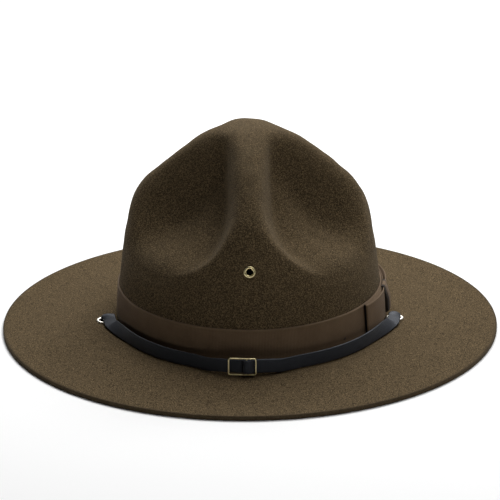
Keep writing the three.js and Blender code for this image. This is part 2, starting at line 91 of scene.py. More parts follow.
CROWN_RIM = 0.7
BRIM_HOLE = 4.0
BRIM_FLANGE = 6.0
BRIM_RIM = 0.9

# Crown sections from apex to foot, as shares of the crown's half size and height,
# and how sharply the side and the front ridges pass into the dents
SIDE_POWER = 2.4
RIDGE_POWER = 3.1
CROWN_ROWS = np.array([
    # sideR sideZ frontR frontZ dentR dentZ frontHalf sideHalf
    [0.000, 1.000, 0.000, 1.000, 0.000, 1.000, 0.215, 0.190],
    [0.120, 0.987, 0.125, 0.985, 0.092, 0.960, 0.212, 0.190],
    [0.235, 0.963, 0.250, 0.958, 0.160, 0.888, 0.200, 0.190],
    [0.350, 0.930, 0.370, 0.920, 0.228, 0.803, 0.185, 0.194],
    [0.460, 0.877, 0.480, 0.870, 0.300, 0.718, 0.175, 0.198],
    [0.570, 0.820, 0.580, 0.815, 0.384, 0.640, 0.175, 0.200],
    [0.660, 0.771, 0.665, 0.760, 0.484, 0.573, 0.180, 0.204],
    [0.737, 0.727, 0.740, 0.705, 0.608, 0.512, 0.194, 0.214],
    [0.806, 0.677, 0.800, 0.650, 0.742, 0.467, 0.228, 0.228],
    [0.863, 0.612, 0.850, 0.588, 0.857, 0.425, 0.296, 0.252],
    [0.902, 0.532, 0.892, 0.516, 0.912, 0.378, 0.395, 0.300],
    [0.927, 0.450, 0.923, 0.442, 0.935, 0.323, 0.500, 0.382],
    [0.947, 0.370, 0.946, 0.366, 0.950, 0.280, 0.570, 0.490],
    [0.967, 0.270, 0.968, 0.270, 0.967, 0.216, 0.570, 0.490],
    [0.986, 0.160, 0.986, 0.160, 0.985, 0.138, 0.570, 0.490],
    [1.000, 0.019, 1.000, 0.019, 1.000, 0.019, 0.570, 0.490],
])
LAST_ROW = len(CROWN_ROWS) - 1
CROWN_PADDED = np.vstack([
    2 * CROWN_ROWS[0] - CROWN_ROWS[1],
    CROWN_ROWS,
    2 * CROWN_ROWS[-1] - CROWN_ROWS[-2],
])


def smoothstep(x):
    """0 up to x = 0, 1 from x = 1, and a smooth rise between."""
    t = np.clip(x, 0, 1)
    return t * t * (3 - 2 * t)


def unit(v):
    return v / np.maximum(np.linalg.norm(v, axis=-1, keepdims=True), 1e-12)


# Camera, world and lights

PHOTO_PIXELS = 500
PIXELS_PER_MM = 1.4894
SHIFT_PIXELS = 69.05
SENSOR_WIDTH = 36
CAMERA_DISTANCE = 1.4
CAMERA_ELEVATION = math.radians(20.0)
CAMERA_ROLL = math.radians(0.5)
WORLD_STRENGTH = 0.02
LIGHT_TARGET = (0, 0, 0.05)
LIGHTS = (
    # name, place in metres, width and depth in metres, power in watts
    ("overhead_softbox", (0.16, 0.77, 1.13), (1.3, 0.9), 30.4),
    ("top_fill", (0.60, -0.42, 1.40), (0.9, 0.7), 5.4),
    ("side_fill", (1.50, -0.40, 1.30), (1.2, 0.9), 0.9),
)

scene = bpy.context.scene
camera_data = bpy.data.cameras.new("camera")
camera = bpy.data.objects.new("camera", camera_data)
scene.collection.objects.link(camera)
back = Vector((0, -math.cos(CAMERA_ELEVATION), math.sin(CAMERA_ELEVATION)))
camera.location = back * CAMERA_DISTANCE
camera.rotation_mode = "QUATERNION"
camera.rotation_quaternion = (
    (-back).to_track_quat("-Z", "Y") @ Matrix.Rotation(-CAMERA_ROLL, 3, "Z").to_quaternion()
)
camera_data.sensor_width = SENSOR_WIDTH
camera_data.lens = PIXELS_PER_MM * CAMERA_DISTANCE / MM / PHOTO_PIXELS * SENSOR_WIDTH
camera_data.shift_y = SHIFT_PIXELS / PHOTO_PIXELS
camera_data.clip_end = 100
scene.camera = camera

world = bpy.data.worlds.new("studio")
world.use_nodes = True
world.node_tree.nodes["Background"].inputs["Color"].default_value = (1, 1, 1, 1)
world.node_tree.nodes["Background"].inputs["Strength"].default_value = WORLD_STRENGTH
scene.world = world
scene.view_settings.view_transform = "Standard"


def area_light(name, place, size, power):
    data = bpy.data.lights.new(name, "AREA")
    data.energy = power
    data.shape = "RECTANGLE"
    data.size, data.size_y = size
    lamp = bpy.data.objects.new(name, data)
    scene.collection.objects.link(lamp)
    lamp.location = place
    lamp.rotation_mode = "QUATERNION"
    lamp.rotation_quaternion = (Vector(LIGHT_TARGET) - Vector(place)).to_track_quat("-Z", "Y")


for light in LIGHTS:
    area_light(*light)


# Mesh helpers

def grid_faces(rows, columns, close_rows=False, close_columns=True):
    """Quads of a grid of points, closed on itself along its rows or columns where asked."""
    i = np.arange(rows if close_rows else rows - 1)
    j = np.arange(columns if close_columns else columns - 1)
    i, j = np.meshgrid(i, j, indexing="ij")
    i2, j2 = (i + 1) % rows, (j + 1) % columns
    quads = [i * columns + j, i * columns + j2, i2 * columns + j2, i2 * columns + j]
    return np.stack(quads, -1).reshape(-1, 4)


def mesh_object(name, points, faces):
    mesh = bpy.data.meshes.new(name)
    mesh.from_pydata((np.asarray(points) * MM).tolist(), [], [list(map(int, f)) for f in faces])
    mesh.update()
    mesh.polygons.foreach_set("use_smooth", [True] * len(mesh.polygons))
    made = bpy.data.objects.new(name, mesh)
    scene.collection.objects.link(made)
    return made


def attribute(piece, name, values):
    layer = piece.data.attributes.new(name, "FLOAT", "POINT")
    layer.data.foreach_set("value", np.asarray(values, np.float32).ravel())


def face_outward(piece):
    """Turns every face of a closed mesh outward."""
    work = bmesh.new()
    work.from_mesh(piece.data)
    bmesh.ops.recalc_face_normals(work, faces=work.faces)
    if work.calc_volume(signed=True) < 0:
        bmesh.ops.reverse_faces(work, faces=work.faces)
    work.to_mesh(piece.data)
    work.free()


def tube_mesh(name, rings, close_along=False):
    """rings is (stations, section points, 3). Open tubes get a fan at each end."""
    stations, around, _ = rings.shape
    points = rings.reshape(-1, 3)
    faces = [list(f) for f in grid_faces(stations, around, close_along, True)]
    if not close_along:
        points = np.vstack([points, rings[0].mean(0), rings[-1].mean(0)])
        first, last = len(points) - 2, len(points) - 1
        for k in range(around):
            k2 = (k + 1) % around
            faces.append([first, k2, k])
            base = (stations - 1) * around
            faces.append([last, base + k, base + k2])
    piece = mesh_object(name, points, faces)
    face_outward(piece)
    return piece


def wander(points, size, seed, waves=9):
    """Smooth wandering noise of about unit strength, with features near the given size in mm."""
    rng = np.random.default_rng(seed)
    total = np.zeros(points.shape[:-1])
    for _ in range(waves):
        direction = rng.normal(size=3)
        direction /= np.linalg.norm(direction)
        length = size * rng.uniform(0.7, 1.5)
        total += np.sin(points @ direction * (2 * math.pi / length) + rng.uniform(0, 2 * math.pi))
    return total / math.sqrt(waves / 2)


def dress(piece, nodes, material):
    """Gives a piece its material and body, and hides the imported parts that it replaces."""
    piece.data.materials.append(material)
    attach(piece, "root")
    if nodes:
        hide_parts(*nodes)
    return piece


# Crown and brim surface

def crown_row(t):
    i = np.clip(np.floor(t).astype(int), 0, LAST_ROW - 1)
    f = (t - i)[..., None]
    p0, p1, p2, p3 = (CROWN_PADDED[i + k] for k in range(4))
    linear = (p2 - p0) * f
    square = (2 * p0 - 5 * p1 + 4 * p2 - p3) * f * f
    cube = (3 * p1 - p0 - 3 * p2 + p3) * f * f * f
    return 0.5 * (2 * p1 + linear + square + cube)


def crown_point(a, t):
    row = crown_row(t)
    side_r, side_z, front_r, front_z, dent_r, dent_z, front_half, side_half = np.moveaxis(row, -1, 0)
    cos, sin = np.cos(a), np.sin(a)
    away_from_side = 1 - np.exp(-np.abs(side_r * sin / side_half) ** SIDE_POWER)
    away_from_front = 1 - np.exp(-np.abs(side_r * cos / front_half) ** RIDGE_POWER)
    side, front = 1 - away_from_side, 1 - away_from_front
    dent = away_from_side * away_from_front + 1e-9
    total = side + front + dent
    r = (side * side_r + front * front_r + dent * dent_r) / total
    z = (side * side_z + front * front_z + dent * dent_z) / total
    return np.stack([r * CROWN_X * cos, r * CROWN_Y * sin, FOOT_Z + z * (HAT_HEIGHT - FOOT_Z)], -1)


def brim_point(a, u):
    x = CROWN_X + (HAT_HALF_X - CROWN_X) * u
    y = CROWN_Y + (HAT_HALF_Y - CROWN_Y) * u
    down = smoothstep((u - BRIM_FALL_START) / (BRIM_FALL_END - BRIM_FALL_START))
    return np.stack([x * np.cos(a), y * np.sin(a), FELT + BRIM_LIFT * (1 - down) + 0 * a], -1)


FILLET_SHARE = FOOT_FILLET / (HAT_HALF_X - CROWN_X)


def outer_point(a, s):
    """Outer section: crown rows to LAST_ROW, the fillet at the foot to LAST_ROW + 1, then the brim."""
    a, s = np.broadcast_arrays(np.asarray(a, float), np.asarray(s, float))
    crown = crown_point(a, np.minimum(s, LAST_ROW))
    turn = np.clip(s - LAST_ROW, 0, 1) * math.pi / 2
    fillet = brim_point(a, (1 - np.cos(turn)) * FILLET_SHARE)
    fillet[..., 2] += FOOT_FILLET * (1 - np.sin(turn))
    brim = brim_point(a, FILLET_SHARE + np.maximum(s - LAST_ROW - 1, 0) * (1 - FILLET_SHARE))
    s = s[..., None]
    return np.where(s <= LAST_ROW, crown, np.where(s <= LAST_ROW + 1, fillet, brim))


def outer_normal(a, s):
    d = 1e-3
    along = outer_point(a, s + d) - outer_point(a, np.maximum(s - d, 0))
    around = outer_point(a + d, s) - outer_point(a - d, s)
    return unit(np.cross(along, around))


def wall_at(a, z):
    """Point and normal of the crown's wall at height z."""
    a, z = np.broadcast_arrays(np.asarray(a, float), np.asarray(z, float))
    low, high = np.full(a.shape, LAST_ROW * 0.6), np.full(a.shape, float(LAST_ROW))
    for _ in range(40):
        middle = (low + high) / 2
        above = crown_point(a, middle)[..., 2] > z
        low, high = np.where(above, middle, low), np.where(above, high, middle)
    return crown_point(a, low), outer_normal(a, np.minimum(low, LAST_ROW - 1e-2))


def off_wall(a, z, distance):
    point, normal = wall_at(a, z)
    flat = unit(normal * np.array([1, 1, 0]))
    return point + flat * (distance / np.sum(flat * normal, -1))[..., None]


# Materials, with linear colours, noise scales per metre and bump distances in metres
FELT_OLIVE = (0.078, 0.053, 0.026)
FELT_OLIVE_PALE = (0.098, 0.068, 0.035)
FELT_MOTTLE = (0.060, 0.041, 0.019)
FELT_FLECK = (0.205, 0.145, 0.077)
FELT_GRAIN = (0.018, 0.013, 0.007)
FELT_HAIR = (0.170, 0.128, 0.080)
FELT_CUT = (0.034, 0.024, 0.014)
FELT_WORN = (0.115, 0.085, 0.050)
RIBBON_BROWN = (0.142, 0.091, 0.050)
RIBBON_BROWN_PALE = (0.180, 0.117, 0.066)
RIBBON_GROOVE = (0.062, 0.041, 0.024)
RIBBON_THREAD = (0.225, 0.152, 0.090)
RIBBON_SELVAGE = (0.150, 0.104, 0.064)
# Painted shade: near black laid on the inner half of each bow loop's folded end and on the knot's two ends,
# where shade falls
RIBBON_PAINTED_SHADE = (0.008, 0.006, 0.005)
THREAD_PITCH = 0.35
THREAD_DARK = (0.010, 0.008, 0.007)
THREAD_PALE = (0.028, 0.021, 0.016)
LEATHER_DARK = (0.0195, 0.0212, 0.0255)
LEATHER_PALE = (0.0265, 0.0282, 0.0330)
LEATHER_PORE = (0.007, 0.008, 0.011)
LEATHER_EDGE = (0.020, 0.021, 0.025)
BRASS = (1.00, 0.87, 0.50)
BRASS_TARNISH = (0.80, 0.65, 0.33)
PALE_BRASS = (0.98, 0.95, 0.86)
PALE_BRASS_TARNISH = (0.82, 0.77, 0.66)
FLOOR_DARK = (0.92, 0.92, 0.92)
FLOOR_PALE = (0.94, 0.94, 0.94)
FLOOR_REACH = 6
FLOOR_CLEARANCE = 0.0001


def new_material(name):
    material = bpy.data.materials.new(name)
    material.use_nodes = True
    tree = material.node_tree
    return material, tree, tree.nodes["Principled BSDF"]


def noise(tree, vector, scale, detail=2.0, roughness=0.5):
    made = tree.nodes.new("ShaderNodeTexNoise")
    made.inputs["Scale"].default_value = scale
    made.inputs["Detail"].default_value = detail
    made.inputs["Roughness"].default_value = roughness
    tree.links.new(vector, made.inputs["Vector"])
    return made.outputs["Fac"]


def math_node(tree, operation, *values):
    made = tree.nodes.new("ShaderNodeMath")
    made.operation = operation
    for socket, value in zip(made.inputs, values):
        if isinstance(value, (int, float)):
            socket.default_value = value
        else:
            tree.links.new(value, socket)
    return made.outputs[0]


def spread(tree, value, low, high, to_low, to_high):
    """Maps low..high of a value to to_low..to_high, clamped."""
    made = tree.nodes.new("ShaderNodeMapRange")
    made.clamp = True
    for name, number in (("From Min", low), ("From Max", high), ("To Min", to_low), ("To Max", to_high)):
        made.inputs[name].default_value = number
    tree.links.new(value, made.inputs["Value"])
    return made.outputs["Result"]


def mix_colour(tree, factor, a, b):
    made = tree.nodes.new("ShaderNodeMix")
    made.data_type = "RGBA"
    for name, value in (("Factor", factor), ("A", a), ("B", b)):
        socket = next(s for s in made.inputs if s.name == name and s.enabled)
        if isinstance(value, (int, float)):
            socket.default_value = value
        elif isinstance(value, tuple):
            socket.default_value = (*value, 1)
        else:
            tree.links.new(value, socket)
    return next(s for s in made.outputs if s.enabled)


def bump(tree, shader, *layers):
    """Chains bump layers, each (height output, distance in metres, strength), into the shader's normal."""
    last = None
    for height, distance, strength in layers:
        made = tree.nodes.new("ShaderNodeBump")
        made.inputs["Distance"].default_value = distance
        made.inputs["Strength"].default_value = strength
        tree.links.new(height, made.inputs["Height"])
        if last is not None:
            tree.links.new(last, made.inputs["Normal"])
        last = made.outputs["Normal"]
    tree.links.new(last, shader.inputs["Normal"])


def object_vector(tree, scale=None, turn=(0, 0, 0)):
    source = tree.nodes.new("ShaderNodeTexCoord").outputs["Object"]
    if scale is None:
        return source
    mapping = tree.nodes.new("ShaderNodeMapping")
    mapping.inputs["Scale"].default_value = scale
    mapping.inputs["Rotation"].default_value = turn
    tree.links.new(source, mapping.inputs["Vector"])
    return mapping.outputs["Vector"]


def attribute_node(tree, name):
    made = tree.nodes.new("ShaderNodeAttribute")
    made.attribute_name = name
    return made.outputs["Fac"]


def felt_material():
    material, tree, shader = new_material("olive_fur_felt")
    place = object_vector(tree)
    grain = noise(tree, place, 1900, 2.0, 0.6)
    fleck = noise(tree, place, 1150, 2.0, 0.55)
    mottle = noise(tree, place, 140, 3.0, 0.55)
    cloud = noise(tree, place, 26, 2.0, 0.5)
    hair_a = noise(tree, object_vector(tree, (2600, 300, 2600), (0.4, 0.2, 0.7)), 1.0, 1.0)
    hair_b = noise(tree, object_vector(tree, (300, 2400, 2400), (0.2, 0.6, 0.3)), 1.0, 1.0)
    hairs = math_node(tree, "MAXIMUM", hair_a, hair_b)

    base = mix_colour(tree, spread(tree, cloud, 0.3, 0.7, 0, 1), FELT_OLIVE, FELT_OLIVE_PALE)
    base = mix_colour(tree, spread(tree, mottle, 0.3, 0.7, 0.0, 0.6), base, FELT_MOTTLE)
    base = mix_colour(tree, spread(tree, fleck, 0.42, 0.60, 0.0, 0.85), base, FELT_FLECK)
    base = mix_colour(tree, spread(tree, grain, 0.44, 0.58, 0.0, 0.90), base, FELT_GRAIN)
    base = mix_colour(tree, spread(tree, hairs, 0.64, 0.76, 0.0, 0.45), base, FELT_HAIR)
    edge = attribute_node(tree, "cut_edge")
    base = mix_colour(tree, math_node(tree, "MULTIPLY", edge, 0.75), base, FELT_CUT)
    patchy = spread(tree, mottle, 0.35, 0.7, 0.1, 0.5)
    wear = math_node(tree, "MULTIPLY", attribute_node(tree, "wear"), patchy)
    base = mix_colour(tree, wear, base, FELT_WORN)
    tree.links.new(base, shader.inputs["Base Color"])

    tree.links.new(spread(tree, grain, 0.3, 0.7, 0.90, 1.0), shader.inputs["Roughness"])
    shader.inputs["Specular IOR Level"].default_value = 0.05
    shader.inputs["Sheen Weight"].default_value = 0.05
    shader.inputs["Sheen Roughness"].default_value = 0.55
    shader.inputs["Sheen Tint"].default_value = (0.85, 0.75, 0.60, 1)
    coarse = (cloud, 0.0008, 0.25), (mottle, 0.0005, 0.45)
    bump(tree, shader, *coarse, (fleck, 0.0003, 0.6), (grain, 0.00015, 0.7))
    return material


def ribbon_material():
    material, tree, shader = new_material("brown_grosgrain")
    place = object_vector(tree)
    rib = attribute_node(tree, "rib")
    weave = attribute_node(tree, "height_mm")
    thread = math_node(tree, "SINE", math_node(tree, "MULTIPLY", weave, 2 * math.pi / THREAD_PITCH))
    selvage = attribute_node(tree, "selvage")
    fine = noise(tree, place, 2200, 2.0, 0.6)
    patch = noise(tree, place, 90, 3.0, 0.55)
    base = mix_colour(tree, spread(tree, patch, 0.3, 0.7, 0, 1), RIBBON_BROWN, RIBBON_BROWN_PALE)
    base = mix_colour(tree, spread(tree, rib, 0, 1, 0.42, 0.0), base, RIBBON_GROOVE)
    base = mix_colour(tree, spread(tree, fine, 0.35, 0.65, 0.0, 0.35), base, RIBBON_THREAD)
    base = mix_colour(tree, math_node(tree, "MULTIPLY", selvage, 0.25), base, RIBBON_SELVAGE)
    # Painted shade: the ribbon turns near black where the shade attribute is set, at the bow loops' folded
    # ends and the knot's ends
    base = mix_colour(tree, attribute_node(tree, "painted_fold_shade"), base, RIBBON_PAINTED_SHADE)
    tree.links.new(base, shader.inputs["Base Color"])
    tree.links.new(spread(tree, fine, 0.3, 0.7, 0.62, 0.82), shader.inputs["Roughness"])
    shader.inputs["Specular IOR Level"].default_value = 0.15
    shader.inputs["Sheen Weight"].default_value = 0.06
    shader.inputs["Sheen Roughness"].default_value = 0.45
    bump(tree, shader, (thread, 0.00006, 0.5), (fine, 0.00005, 0.5))
    return material


def leather_material():
    material, tree, shader = new_material("blue_black_leather")
    place = object_vector(tree)
    pores = tree.nodes.new("ShaderNodeTexVoronoi")
    pores.feature = "DISTANCE_TO_EDGE"
    pores.inputs["Scale"].default_value = 1500
    tree.links.new(place, pores.inputs["Vector"])
    pebble = spread(tree, pores.outputs["Distance"], 0.0, 0.12, 0.0, 1.0)
    fine = noise(tree, place, 3000, 2.0, 0.6)
    patch = noise(tree, place, 120, 3.0, 0.55)
    crease = noise(tree, object_vector(tree, (160, 160, 900)), 1.0, 2.0)
    edge = attribute_node(tree, "edge")
    base = mix_colour(tree, spread(tree, patch, 0.3, 0.7, 0, 1), LEATHER_DARK, LEATHER_PALE)
    base = mix_colour(tree, spread(tree, pebble, 0, 1, 0.35, 0.0), base, LEATHER_PORE)
    worn = math_node(tree, "MULTIPLY", edge, spread(tree, patch, 0.35, 0.65, 0.25, 0.8))
    base = mix_colour(tree, worn, base, LEATHER_EDGE)
    tree.links.new(base, shader.inputs["Base Color"])
    tree.links.new(spread(tree, patch, 0.3, 0.7, 0.46, 0.58), shader.inputs["Roughness"])
    shader.inputs["Specular IOR Level"].default_value = 0.36
    shader.inputs["Specular Tint"].default_value = (0.82, 0.88, 1.0, 1)
    bump(tree, shader, (crease, 0.0003, 0.25), (pebble, 0.00004, 0.35), (fine, 0.00002, 0.3))
    return material


def metal_material(name, colour, dark, roughness):
    material, tree, shader = new_material(name)
    place = object_vector(tree)
    tarnish = noise(tree, place, 420, 3.0, 0.6)
    scratch = noise(tree, object_vector(tree, (600, 600, 5200), (0.3, 0.5, 0.1)), 1.0, 2.0)
    base = mix_colour(tree, spread(tree, tarnish, 0.35, 0.72, 0.0, 0.6), colour, dark)
    tree.links.new(base, shader.inputs["Base Color"])
    shader.inputs["Metallic"].default_value = 1.0
    tree.links.new(spread(tree, tarnish, 0.3, 0.7, roughness, roughness + 0.16), shader.inputs["Roughness"])
    bump(tree, shader, (tarnish, 0.00006, 0.2), (scratch, 0.00002, 0.25))
    return material


def thread_material():
    material, tree, shader = new_material("dark_thread")
    place = object_vector(tree)
    twist = noise(tree, place, 4200, 2.0, 0.6)
    base = mix_colour(tree, spread(tree, twist, 0.35, 0.65, 0, 1), THREAD_DARK, THREAD_PALE)
    tree.links.new(base, shader.inputs["Base Color"])
    shader.inputs["Roughness"].default_value = 0.75
    bump(tree, shader, (twist, 0.00004, 0.5))
    return material


def floor_material():
    material, tree, shader = new_material("pale_floor")
    place = object_vector(tree)
    tone = noise(tree, place, 1.5, 2.0)
    base = mix_colour(tree, tone, FLOOR_DARK, FLOOR_PALE)
    tree.links.new(base, shader.inputs["Base Color"])
    shader.inputs["Roughness"].default_value = 0.9
    shader.inputs["Specular IOR Level"].default_value = 0.1
    return material


felt = felt_material()
ribbon = ribbon_material()
leather = leather_material()
brass = metal_material("polished_brass", BRASS, BRASS_TARNISH, 0.33)
pale_brass = metal_material("pale_brass", PALE_BRASS, PALE_BRASS_TARNISH, 0.36)
thread = thread_material()

floor_data = bpy.data.meshes.new("floor")
floor_corners = [(x * FLOOR_REACH, y * FLOOR_REACH, 0) for x, y in ((-1, -1), (1, -1), (1, 1), (-1, 1))]
floor_data.from_pydata(floor_corners, [], [(0, 1, 2, 3)])
floor_data.materials.append(floor_material())
floor = bpy.data.objects.new("floor", floor_data)
floor.location.z = -FLOOR_CLEARANCE
scene.collection.objects.link(floor)


# Felt body

COLUMNS = 288
COLUMN_BUNCHING = 0.11
PRESS_RADIUS = 4.8
PRESS_BLEND = 3.0
CALM_RADIUS = 7.0
CALM_BLEND = 9.0
even = np.arange(COLUMNS) * 2 * math.pi / COLUMNS
turns = even - COLUMN_BUNCHING * np.sin(4 * even)


def eyelet_frame(place, normal):
    turn = Vector((0, 0, 1)).rotation_difference(Vector(normal))
    return Matrix.Translation(Vector(place)) @ turn.to_matrix().to_4x4()


crown_seat, crown_seat_normal = wall_at(np.array(-math.pi / 2), np.array(CROWN_EYELET_Z))
EYELETS = {
    # place, normal, hole radius, flange radius, rim height
    "crown": (crown_seat, crown_seat_normal, CROWN_HOLE, CROWN_FLANGE, CROWN_RIM),
    "left": (np.array([EYELET_X, EYELET_Y, FOOT_Z]), UP, BRIM_HOLE, BRIM_FLANGE, BRIM_RIM),
    "right": (np.array([-EYELET_X, EYELET_Y, FOOT_Z]), UP, BRIM_HOLE, BRIM_FLANGE, BRIM_RIM),
}


def felt_section():
    """Rows of the felt's closed section, from the apex out to the brim's edge and back inside."""
    rows = []
    for s in np.linspace(0, LAST_ROW, 121)[1:]:
        rows.append(("out", s))
    for s in np.linspace(LAST_ROW, LAST_ROW + 1, 7)[1:]:
        rows.append(("out", s))
    for u in np.linspace(0, 1, 41)[1:]:
        rows.append(("out", LAST_ROW + 1 + u))
    edge_rows = [("edge", math.radians(d)) for d in (15, 30, 45, 60, 75, 90)]
    rows = rows[:-1] + edge_rows + [("low", math.radians(d)) for d in (0, 22, 45, 68, 90)]
    for u in np.linspace(1, 0, 31)[1:]:
        rows.append(("under", LAST_ROW + 1 + u))
    for s in np.linspace(LAST_ROW + 1, LAST_ROW, 5)[1:]:
        rows.append(("in", s))
    for s in np.linspace(LAST_ROW, 0, 71)[1:-1]:
        rows.append(("in", s))
    return rows


def build_felt():
    """Crown and brim, a little uneven, pressed flat round the crown's eyelet."""
    rows = felt_section()
    grid, cut, soft = [], [], []
    rim = outer_point(turns, np.full(COLUMNS, LAST_ROW + 2.0))
    rim_out = unit(rim * np.array([1 / HAT_HALF_X**2, 1 / HAT_HALF_Y**2, 0]))
    for kind, value in rows:
        s = np.full(COLUMNS, value)
        if kind == "out":
            points = outer_point(turns, s)
            if value > LAST_ROW + 1.98:
                points = points - rim_out * EDGE_RADIUS_TOP
        elif kind == "in":
            points = outer_point(turns, s) - FELT * outer_normal(turns, s)
        elif kind == "under":
            points = outer_point(turns, s) - FELT * UP
            if value > LAST_ROW + 1.98:
                points = points - rim_out * EDGE_RADIUS_LOW
        elif kind == "edge":
            inward = EDGE_RADIUS_TOP * (1 - math.sin(value))
            points = rim - rim_out * inward - UP * EDGE_RADIUS_TOP * (1 - math.cos(value))
        else:
            inward = EDGE_RADIUS_LOW * (1 - math.cos(value))
            down = FELT - EDGE_RADIUS_LOW * (1 - math.sin(value))
            points = rim - rim_out * inward - UP * down
        grid.append(points)
        cut.append(np.full(COLUMNS, 1.0 if kind in ("edge", "low") else 0.0))
        soft.append(np.full(COLUMNS, 1.0 if kind in ("out", "in") and value < LAST_ROW else 0.0))
    grid, soft = np.array(grid), np.array(soft)
    normals = np.array([
        outer_normal(turns, np.full(COLUMNS, value if kind in ("out", "in", "under") else LAST_ROW + 2.0))
        for kind, value in rows
    ])
    height = smoothstep((grid[..., 2] - 40) / 30)
    ripple = 0.25 * wander(grid, 46, 5) + 0.12 * wander(grid, 15, 8)
    seat_distance = np.linalg.norm(grid - crown_seat, axis=-1)
    ripple = ripple * smoothstep((seat_distance - CALM_RADIUS) / CALM_BLEND)
    grid = grid + normals * (ripple * height * soft)[..., None]
    depth = np.array([0.0 if kind == "out" else FELT for kind, _ in rows])[:, None]
    lift = (grid - crown_seat) @ crown_seat_normal + depth
    pressed = (1 - smoothstep((seat_distance - PRESS_RADIUS) / PRESS_BLEND)) * soft
    grid = grid - crown_seat_normal * (pressed * lift)[..., None]
    radius = np.hypot(grid[..., 0] / HAT_HALF_X, grid[..., 1] / HAT_HALF_Y)
    ridge = np.exp(-((grid[..., 0] / 9) ** 2)) + np.exp(-((grid[..., 1] / 11) ** 2))
    wear = np.clip(ridge, 0, 1) * smoothstep((grid[..., 2] - 85) / 40)
    wear = wear + 0.5 * smoothstep((radius - 0.985) / 0.012)
    points = grid.reshape(-1, 3)
    faces = [list(f) for f in grid_faces(len(rows), COLUMNS)]
    apex = np.array([0, 0, HAT_HEIGHT])
    inner_apex = np.array([0, 0, HAT_HEIGHT - FELT])
    points = np.vstack([points, apex, inner_apex])
    first, last = len(points) - 2, len(points) - 1
    base = (len(rows) - 1) * COLUMNS
    for k in range(COLUMNS):
        k2 = (k + 1) % COLUMNS
        faces.append([first, k2, k])
        faces.append([last, base + k, base + k2])
    piece = mesh_object("felt_hat", points, faces)
    attribute(piece, "cut_edge", np.append(np.array(cut).ravel(), [0, 0]))
    attribute(piece, "wear", np.append(wear.ravel(), [1, 0]))
    face_outward(piece)
    return piece


def cut_holes(piece):
    """Cuts the eyelets' holes through the felt."""
    cutters = []
    for name, (place, normal, hole, _, _) in EYELETS.items():
        radius = hole + EYELET_WALL + GAP / 2
        angles = np.arange(48) * 2 * math.pi / 48
        ring = np.stack([np.cos(angles) * radius, np.sin(angles) * radius, 0 * angles], -1)
        rings = np.stack([ring - UP * FELT * 3, ring + UP * FELT * 3])
        cutter = tube_mesh("cutter_" + name, rings)
        cutter.data.transform(eyelet_frame(Vector(place) * MM, normal))
        modifier = piece.modifiers.new("hole_" + name, "BOOLEAN")
        modifier.operation = "DIFFERENCE"
        modifier.solver = "EXACT"
        modifier.object = cutter
        cutters.append(cutter)
    bpy.context.view_layer.update()
    graph = bpy.context.evaluated_depsgraph_get()
    cut = bpy.data.meshes.new_from_object(piece.evaluated_get(graph))
    piece.modifiers.clear()
    piece.data = cut
    for cutter in cutters:
        bpy.data.objects.remove(cutter)


felt_hat = build_felt()
cut_holes(felt_hat)
dress(felt_hat, ["felt_body"], felt)


# Eyelets

def build_eyelet(name, key):
    """A turned eyelet: rounded flange, barrel through the felt and a flat back ring."""
    place, normal, hole, outer, rim = EYELETS[key]
    barrel = hole + EYELET_WALL
    seat = GAP * 0.9
    behind = -FELT - GAP
    profile = []
    middle, half = (hole + outer) / 2, (outer - hole) / 2
    for d in np.linspace(0, 180, 17):
        turn = math.radians(d)
        squash = 0.75 + 0.25 * math.sin(turn)
        reach = half * math.cos(turn) * (1 if d < 90 else squash**0.3)
        profile.append((middle - reach, seat + rim * math.sin(turn) ** 0.8))
    profile += [(outer - 0.12, 0.0), (barrel + 0.1, 0.02), (barrel, -0.1), (barrel, behind + 0.1)]
    profile += [(barrel + 0.15, behind), (outer - 0.3, behind), (outer, behind - 0.12)]
    profile += [(outer, behind - 0.38), (outer - 0.2, behind - 0.5), (hole + 0.3, behind - 0.5)]
    profile += [(hole + 0.05, behind - 0.35), (hole, behind - 0.1)]
    angles = np.arange(72) * 2 * math.pi / 72
    r = np.array([p[0] for p in profile])[:, None]
    h = np.array([p[1] for p in profile])[:, None]
    rings = np.stack([r * np.cos(angles), r * np.sin(angles), h + 0 * angles], -1)
    faces = [list(f) for f in grid_faces(len(profile), 72, True, True)]
    piece = mesh_object(name, rings.reshape(-1, 3), faces)
    piece.data.transform(eyelet_frame(Vector(place) * MM, normal))
    face_outward(piece)
    return piece


dress(build_eyelet("eyelet_crown", "crown"), ["crown_eyelet"], brass)
dress(build_eyelet("eyelet_brim_left", "left"), ["brim_eyelet_left"], pale_brass)
dress(build_eyelet("eyelet_brim_right", "right"), ["brim_eyelet_right"], pale_brass)


# Ribbon band, with laps as shares of the ribbon's thickness
BAND_LAP = 0.16
BOW_LAP = 0.10


def rib_wave(length):
    return 0.5 + 0.5 * np.cos(2 * math.pi * length / RIB_PITCH)


def ribbon_section(lap):
    """Ribbon cross-section: (share of height, share of thickness, selvage) around, outer face first.

    The selvages stand proud by lap, a share of the thickness."""
    rows = []
    for share in (0.0, 0.02, 0.045, 0.075, 0.2, 0.35, 0.5, 0.65, 0.8, 0.925, 0.955, 0.98, 1.0):
        near = min(share, 1 - share)
        cord = 1.0 if near < 0.05 else 0.0
        swell = lap * math.sin(math.pi * min(near / 0.06, 1)) if near < 0.06 else 0.0
        out = 1.0 + swell if near > 0.001 else 0.55
        rows.append((share, out, cord))
    rows += [(1.0, 0.0, 1.0), (0.5, 0.0, 0.0), (0.0, 0.0, 1.0)]
    return rows


